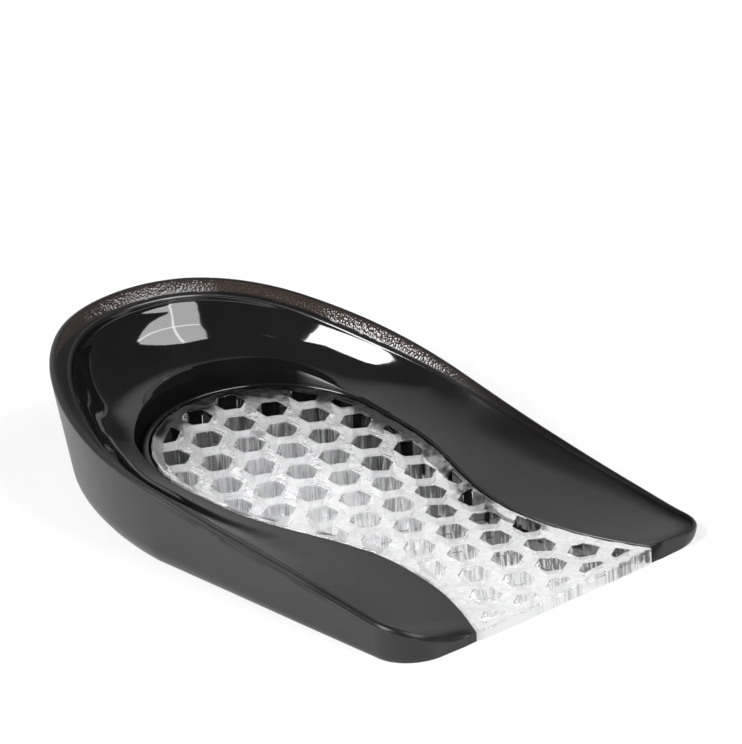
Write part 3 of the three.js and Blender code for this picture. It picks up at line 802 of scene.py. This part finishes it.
def black_gel():
    material, tree, shader = new_material("black_gel")
    link = tree.links.new
    coords = tree.nodes.new("ShaderNodeTexCoord")
    shader.inputs["IOR"].default_value = 1.5

    grain = tree.nodes.new("ShaderNodeAttribute")
    grain.attribute_name = "rim_grain"
    inside = tree.nodes.new("ShaderNodeAttribute")
    inside.attribute_name = "inside"
    place = tree.nodes.new("ShaderNodeSeparateXYZ")
    link(coords.outputs["Object"], place.inputs["Vector"])

    # colour: nearly black, a little uneven, with a warm cast where the rim is thin
    cloud = add_node(tree, "ShaderNodeTexNoise", Scale=160.0, Detail=3.0)
    link(coords.outputs["Object"], cloud.inputs["Vector"])
    tone = tree.nodes.new("ShaderNodeValToRGB")
    tone.color_ramp.elements[0].position, tone.color_ramp.elements[0].color = 0.3, (0.0024, 0.0022, 0.0024, 1)
    tone.color_ramp.elements[1].position, tone.color_ramp.elements[1].color = 0.7, (0.0036, 0.0034, 0.0035, 1)
    link(cloud.outputs["Fac"], tone.inputs["Fac"])
    warm = tree.nodes.new("ShaderNodeMix")
    warm.data_type = "RGBA"
    warm.inputs["B"].default_value = (0.015, 0.0110, 0.0094, 1)
    link(grain.outputs["Fac"], warm.inputs["Factor"])
    link(tone.outputs["Color"], warm.inputs["A"])
    link(warm.outputs["Result"], shader.inputs["Base Color"])

    # gloss: polished in the heel bowl, satin on the wings and outside, dull on the rim
    heel = tree.nodes.new("ShaderNodeMapRange")
    heel.inputs["From Min"].default_value, heel.inputs["From Max"].default_value = -0.020, 0.012
    heel.interpolation_type = "SMOOTHSTEP"
    link(place.outputs["Y"], heel.inputs["Value"])
    polished = tree.nodes.new("ShaderNodeMath")
    polished.operation = "MULTIPLY"
    link(heel.outputs["Result"], polished.inputs[0])
    link(inside.outputs["Fac"], polished.inputs[1])
    smear = add_node(tree, "ShaderNodeTexNoise", Scale=90.0, Detail=4.0)
    link(coords.outputs["Object"], smear.inputs["Vector"])
    satin = tree.nodes.new("ShaderNodeMapRange")
    satin.inputs["To Min"].default_value, satin.inputs["To Max"].default_value = 0.32, 0.40
    link(smear.outputs["Fac"], satin.inputs["Value"])
    gloss = tree.nodes.new("ShaderNodeMapRange")
    gloss.inputs["To Max"].default_value = 0.055
    link(polished.outputs["Value"], gloss.inputs["Value"])
    link(satin.outputs["Result"], gloss.inputs["To Min"])
    dull = tree.nodes.new("ShaderNodeMapRange")
    dull.inputs["To Max"].default_value = 0.16
    link(grain.outputs["Fac"], dull.inputs["Value"])
    link(gloss.outputs["Result"], dull.inputs["To Min"])
    link(dull.outputs["Result"], shader.inputs["Roughness"])

    # the recess round the core and the duller margins reflect little
    shine = tree.nodes.new("ShaderNodeMapRange")
    shine.inputs["From Min"].default_value, shine.inputs["From Max"].default_value = -1.0, 0.0
    shine.inputs["To Min"].default_value, shine.inputs["To Max"].default_value = 0.0, 0.5
    link(inside.outputs["Fac"], shine.inputs["Value"])
    link(shine.outputs["Result"], shader.inputs["Specular IOR Level"])

    # skin: fine grain on the rim, faint mould texture elsewhere
    speckle = add_node(tree, "ShaderNodeTexVoronoi", Scale=2600.0)
    link(coords.outputs["Object"], speckle.inputs["Vector"])
    rim_bump = add_node(tree, "ShaderNodeBump", Distance=0.00012)
    link(speckle.outputs["Distance"], rim_bump.inputs["Height"])
    strength = tree.nodes.new("ShaderNodeMath")
    strength.operation = "MULTIPLY"
    strength.inputs[1].default_value = 0.85
    link(grain.outputs["Fac"], strength.inputs[0])
    link(strength.outputs["Value"], rim_bump.inputs["Strength"])
    mould = add_node(tree, "ShaderNodeTexNoise", Scale=700.0, Detail=2.0)
    link(coords.outputs["Object"], mould.inputs["Vector"])
    skin_bump = add_node(tree, "ShaderNodeBump", Distance=0.00001, Strength=0.25)
    link(mould.outputs["Fac"], skin_bump.inputs["Height"])
    link(rim_bump.outputs["Normal"], skin_bump.inputs["Normal"])
    link(skin_bump.outputs["Normal"], shader.inputs["Normal"])
    return material


def clear_gel(name, ior):
    """The walls and floors of the cells, or the core's front face, with painted shade in their colour."""
    material, tree, shader = new_material(name)
    link = tree.links.new
    coords = tree.nodes.new("ShaderNodeTexCoord")
    shader.inputs["IOR"].default_value = ior
    shader.inputs["Transmission Weight"].default_value = 1.0
    shader.inputs["Roughness"].default_value = 0.07

    # draw marks that run down the walls
    stretch = tree.nodes.new("ShaderNodeMapping")
    stretch.inputs["Scale"].default_value = (1.0, 1.0, 0.05)
    link(coords.outputs["Object"], stretch.inputs["Vector"])
    marks = add_node(tree, "ShaderNodeTexNoise", Scale=3200.0, Detail=2.0)
    link(stretch.outputs["Vector"], marks.inputs["Vector"])
    mark_bump = add_node(tree, "ShaderNodeBump", Distance=0.00007, Strength=0.9)
    link(marks.outputs["Fac"], mark_bump.inputs["Height"])
    link(mark_bump.outputs["Normal"], shader.inputs["Normal"])

    # painted shade: the black of the cup seen through the gel, painted into the walls' colour and broken up into
    # upright streaks
    shade = tree.nodes.new("ShaderNodeAttribute")
    shade.attribute_name = "shade"
    streaks = add_node(tree, "ShaderNodeTexNoise", Scale=2500.0, Detail=2.5, Roughness=0.65)
    link(stretch.outputs["Vector"], streaks.inputs["Vector"])
    swing = tree.nodes.new("ShaderNodeMapRange")
    swing.inputs["From Min"].default_value, swing.inputs["From Max"].default_value = 0.3, 0.56
    swing.inputs["To Min"].default_value, swing.inputs["To Max"].default_value = -1.1, 0.27
    link(streaks.outputs["Fac"], swing.inputs["Value"])
    depth = tree.nodes.new("ShaderNodeMath")
    depth.operation = "ADD"
    link(shade.outputs["Fac"], depth.inputs[0])
    link(swing.outputs["Result"], depth.inputs[1])
    tone = tree.nodes.new("ShaderNodeValToRGB")
    ramp = tone.color_ramp.elements
    ramp[0].position, ramp[0].color = 0.0, (0.90, 0.903, 0.915, 1)
    ramp[1].position, ramp[1].color = 1.0, (0.045, 0.0455, 0.047, 1)
    for at, level in ((0.25, 0.66), (0.6, 0.27)):
        stop = ramp.new(at)
        stop.color = (level, level * 1.004, level * 1.02, 1)
    link(depth.outputs["Value"], tone.inputs["Fac"])
    link(tone.outputs["Color"], shader.inputs["Base Color"])
    return material


def bonded_side():
    """The core's side where it is bonded to the black cup: black, with no shine of its own."""
    material, tree, shader = new_material("black_gel_bond")
    shader.inputs["Base Color"].default_value = (0.026, 0.0255, 0.0265, 1)
    shader.inputs["Roughness"].default_value = 0.6
    shader.inputs["Specular IOR Level"].default_value = 0.0
    return material


def gel_facet():
    """The wall of each cell that faces the back: painted light, milky white so it shows white through the top, for the
    light reflected inside the gel at that wall.
    """
    material, tree, shader = new_material("clear_gel_facet")
    coords = tree.nodes.new("ShaderNodeTexCoord")
    stretch = tree.nodes.new("ShaderNodeMapping")
    stretch.inputs["Scale"].default_value = (1.0, 1.0, 0.06)
    tree.links.new(coords.outputs["Object"], stretch.inputs["Vector"])
    streaks = add_node(tree, "ShaderNodeTexNoise", Scale=2200.0, Detail=3.0)
    tree.links.new(stretch.outputs["Vector"], streaks.inputs["Vector"])
    tone = tree.nodes.new("ShaderNodeValToRGB")
    tone.color_ramp.elements[0].position, tone.color_ramp.elements[0].color = 0.34, (0.86, 0.863, 0.87, 1)
    tone.color_ramp.elements[1].position, tone.color_ramp.elements[1].color = 0.54, (0.99, 0.99, 0.99, 1)
    tree.links.new(streaks.outputs["Fac"], tone.inputs["Fac"])
    tree.links.new(tone.outputs["Color"], shader.inputs["Base Color"])
    shader.inputs["IOR"].default_value = 1.46
    shader.inputs["Transmission Weight"].default_value = 0.5
    shader.inputs["Roughness"].default_value = 0.12
    return material


def gel_base():
    """The core's underside: clear and slightly frosted."""
    material, tree, shader = new_material("clear_gel_base")
    shader.inputs["Base Color"].default_value = (0.90, 0.903, 0.91, 1)
    shader.inputs["IOR"].default_value = 1.46
    shader.inputs["Transmission Weight"].default_value = 1.0
    shader.inputs["Roughness"].default_value = 0.28
    return material


def gel_skin():
    """The core's top between the cells: clear with a thin white haze and a fine pebble; the haze gives way to painted
    shade, near black, where the cup's black shows through.
    """
    material, tree, shader = new_material("clear_gel_skin")
    link = tree.links.new
    coords = tree.nodes.new("ShaderNodeTexCoord")
    shader.inputs["IOR"].default_value = 1.46
    shader.inputs["Transmission Weight"].default_value = 0.88
    milk_and_painted_shade = tree.nodes.new("ShaderNodeAttribute")
    milk_and_painted_shade.attribute_name = "milk_and_painted_shade"
    mottle = add_node(tree, "ShaderNodeTexNoise", Scale=900.0, Detail=4.0, Roughness=0.6, Distortion=0.8)
    link(coords.outputs["Object"], mottle.inputs["Vector"])
    bright = tree.nodes.new("ShaderNodeValToRGB")
    bright.color_ramp.elements[0].position, bright.color_ramp.elements[0].color = 0.36, (0.74, 0.743, 0.75, 1)
    bright.color_ramp.elements[1].position, bright.color_ramp.elements[1].color = 0.60, (0.97, 0.972, 0.978, 1)
    link(mottle.outputs["Fac"], bright.inputs["Fac"])
    # painted shade: the colour goes to near black where the attribute is low
    veil = tree.nodes.new("ShaderNodeMix")
    veil.data_type = "RGBA"
    veil.inputs["A"].default_value = (0.014, 0.0141, 0.0145, 1)
    link(milk_and_painted_shade.outputs["Fac"], veil.inputs["Factor"])
    link(bright.outputs["Color"], veil.inputs["B"])
    link(veil.outputs["Result"], shader.inputs["Base Color"])

    haze = add_node(tree, "ShaderNodeTexNoise", Scale=420.0, Detail=4.0)
    link(coords.outputs["Object"], haze.inputs["Vector"])
    rough = tree.nodes.new("ShaderNodeMapRange")
    rough.inputs["From Min"].default_value, rough.inputs["From Max"].default_value = 0.35, 0.7
    rough.inputs["To Min"].default_value, rough.inputs["To Max"].default_value = 0.03, 0.12
    link(haze.outputs["Fac"], rough.inputs["Value"])
    link(rough.outputs["Result"], shader.inputs["Roughness"])

    pebble = add_node(tree, "ShaderNodeTexNoise", Scale=2400.0, Detail=3.0)
    link(coords.outputs["Object"], pebble.inputs["Vector"])
    pebble_bump = add_node(tree, "ShaderNodeBump", Distance=0.00006, Strength=0.8)
    link(pebble.outputs["Fac"], pebble_bump.inputs["Height"])
    link(pebble_bump.outputs["Normal"], shader.inputs["Normal"])
    return material


def floor_material():
    material, tree, shader = new_material("pale_floor")
    shader.inputs["Base Color"].default_value = (0.20, 0.20, 0.20, 1)
    shader.inputs["Roughness"].default_value = 0.8
    shader.inputs["Specular IOR Level"].default_value = 0.0
    shader.inputs["Emission Color"].default_value = (1, 1, 1, 1)
    shader.inputs["Emission Strength"].default_value = 0.61
    return material


# ---------------------------------------------------------------------- pieces

black = black_gel()
cup = build_cup(black)
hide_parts("heel_cup")
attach(cup, "root")

core = build_core(clear_gel("clear_gel", 1.22), bonded_side(), gel_skin(), gel_base(), gel_facet(),
                  clear_gel("clear_gel_face", 1.46))
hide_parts("honeycomb_core")
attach(core, "root")

# ----------------------------------------------------------------------- stage

floor_mesh = bpy.data.meshes.new("floor")
half, CONTACT = 2.5, 0.00004      # the tacky underside sinks this little into the floor
floor_mesh.from_pydata([(-half, -half, CONTACT), (half, -half, CONTACT), (half, half, CONTACT), (-half, half, CONTACT)],
                       [], [(0, 1, 2, 3)])
floor_mesh.materials.append(floor_material())
floor = bpy.data.objects.new("floor", floor_mesh)
bpy.context.scene.collection.objects.link(floor)


def glow_material(name, radiance):
    material, tree, shader = new_material(name)
    shader.inputs["Base Color"].default_value = (0, 0, 0, 1)
    shader.inputs["Specular IOR Level"].default_value = 0.0
    shader.inputs["Emission Color"].default_value = (1, 1, 1, 1)
    shader.inputs["Emission Strength"].default_value = radiance
    return material


def direction(az, el):
    """Unit vector towards an azimuth (0 is +Y, 90 is +X) and an elevation, in degrees."""
    az, el = math.radians(az), math.radians(el)
    return np.array([math.sin(az) * math.cos(el), math.cos(az) * math.cos(el), math.sin(el)])


def diffuser(name, outline, radiance, distance=0.95, facing=None, lines=(), line_radiance=0.0):
    """A flat glowing panel that fills the outline, given as directions seen from the part,
    and brighter bars along lines of directions. Lights the scene, unseen by the camera."""
    d = np.array([direction(*corner) for corner in outline])
    ahead = d.mean(0) if facing is None else direction(*facing)
    ahead = ahead / np.linalg.norm(ahead)
    side = np.cross([0.0, 0.0, 1.0], ahead)
    side = side / np.linalg.norm(side)
    high = np.cross(ahead, side)

    def flat(v):
        return np.array([v @ side, v @ high]) / (v @ ahead) * distance

    def place(uv, near=0.0):
        return tuple(ahead * (distance - near) + side * uv[0] + high * uv[1] + np.array([0.0, 0.0, 0.008]))

    points = [place(flat(v)) for v in d]
    faces, slots = [tuple(range(len(points)))], [0]
    for line in lines:
        path = np.array([flat(direction(*v)) for v in line])
        run = np.gradient(path, axis=0)
        across = np.stack([-run[:, 1], run[:, 0]], 1)
        across = across / np.linalg.norm(across, axis=1, keepdims=True) * 0.011
        for k in range(len(path) - 1):
            first = len(points)
            for q in (path[k] - across[k], path[k + 1] - across[k + 1], path[k + 1] + across[k + 1], path[k] + across[k]):
                points.append(place(q, 0.01))
            faces.append(tuple(range(first, first + 4)))
            slots.append(1)
    mesh = bpy.data.meshes.new(name)
    mesh.from_pydata(points, [], faces)
    mesh.materials.append(glow_material(name, radiance))
    if lines:
        mesh.materials.append(glow_material(name + "_bars", line_radiance))
    mesh.polygons.foreach_set("material_index", slots)
    obj = bpy.data.objects.new(name, mesh)
    obj.visible_camera = False
    bpy.context.scene.collection.objects.link(obj)
    return obj


diffuser("left_box", [(252, 49), (255, 29), (261, 6), (280, 6), (286, 30), (294, 56), (289, 58), (273.5, 52.5), (262, 45.5)], 26.0)
diffuser("window", [(138, 33), (134.5, 39), (138, 56), (147, 64.5), (175, 66.5), (189.5, 52), (191.6, 41), (197, 22), (198, 8),
                    (181, 6), (176, 18), (168, 19), (157, 22), (147, 27.5)], 9.3, facing=(166, 38),
         lines=[[(181, 6), (177.6, 24), (171.7, 37.4), (163.3, 52.3), (150, 63)],
                [(137, 34.5), (150.6, 34.3), (160.2, 35.4), (171.7, 37.4), (181.1, 38.2), (191.6, 40)]], line_radiance=21.0)
diffuser("far_lamp", [(-134, 58), (-130, 56.5), (-125, 58.5), (-129, 60.5)], 0.9)

# the room: dim, with a pale wall beyond the heel
world = bpy.data.worlds.new("studio")
bpy.context.scene.world = world
world.use_nodes = True
tree = world.node_tree
ground = tree.nodes["Background"]
where = tree.nodes.new("ShaderNodeTexCoord")
facing = tree.nodes.new("ShaderNodeVectorMath")
facing.operation = "DOT_PRODUCT"
wall_az, wall_el = math.radians(18), math.radians(20)
facing.inputs[1].default_value = (math.sin(wall_az) * math.cos(wall_el), math.cos(wall_az) * math.cos(wall_el), math.sin(wall_el))
tree.links.new(where.outputs["Generated"], facing.inputs[0])
shade = tree.nodes.new("ShaderNodeMapRange")
shade.interpolation_type = "SMOOTHSTEP"
for key, value in (("From Min", 0.70), ("From Max", 0.86), ("To Min", 0.12), ("To Max", 0.68)):
    shade.inputs[key].default_value = value
tree.links.new(facing.outputs["Value"], shade.inputs["Value"])
tree.links.new(shade.outputs["Result"], ground.inputs["Strength"])
ground.inputs["Color"].default_value = (1, 1, 1, 1)

# ---------------------------------------------------------------------- camera

AZIMUTH, ELEVATION, ROLL = math.radians(-42.02), math.radians(23.01), math.radians(-3.166)
DISTANCE, PIXELS_PER_MM, LOOK_AT = 1200.0, 6.709, Vector((27.1, 20.45, 8.0))
back = Vector((math.sin(AZIMUTH) * math.cos(ELEVATION), -math.cos(AZIMUTH) * math.cos(ELEVATION), math.sin(ELEVATION)))
right = Vector((math.cos(AZIMUTH), math.sin(AZIMUTH), 0))
up = Vector((-math.sin(AZIMUTH) * math.sin(ELEVATION), math.cos(AZIMUTH) * math.sin(ELEVATION), math.cos(ELEVATION)))
rolled_right = math.cos(ROLL) * right + math.sin(ROLL) * up
rolled_up = -math.sin(ROLL) * right + math.cos(ROLL) * up
lens = bpy.data.cameras.new("camera")
lens.sensor_fit, lens.sensor_width = "AUTO", 36.0
lens.lens = PIXELS_PER_MM * DISTANCE * 36.0 / 744.0
lens.clip_start, lens.clip_end = 0.05, 20.0
camera = bpy.data.objects.new("camera", lens)
camera.matrix_world = Matrix.Translation((LOOK_AT + DISTANCE * back) * MM) @ Matrix(
    (rolled_right, rolled_up, back)).transposed().to_4x4()
bpy.context.scene.collection.objects.link(camera)
bpy.context.scene.camera = camera
bpy.context.scene.view_settings.view_transform = "Standard"
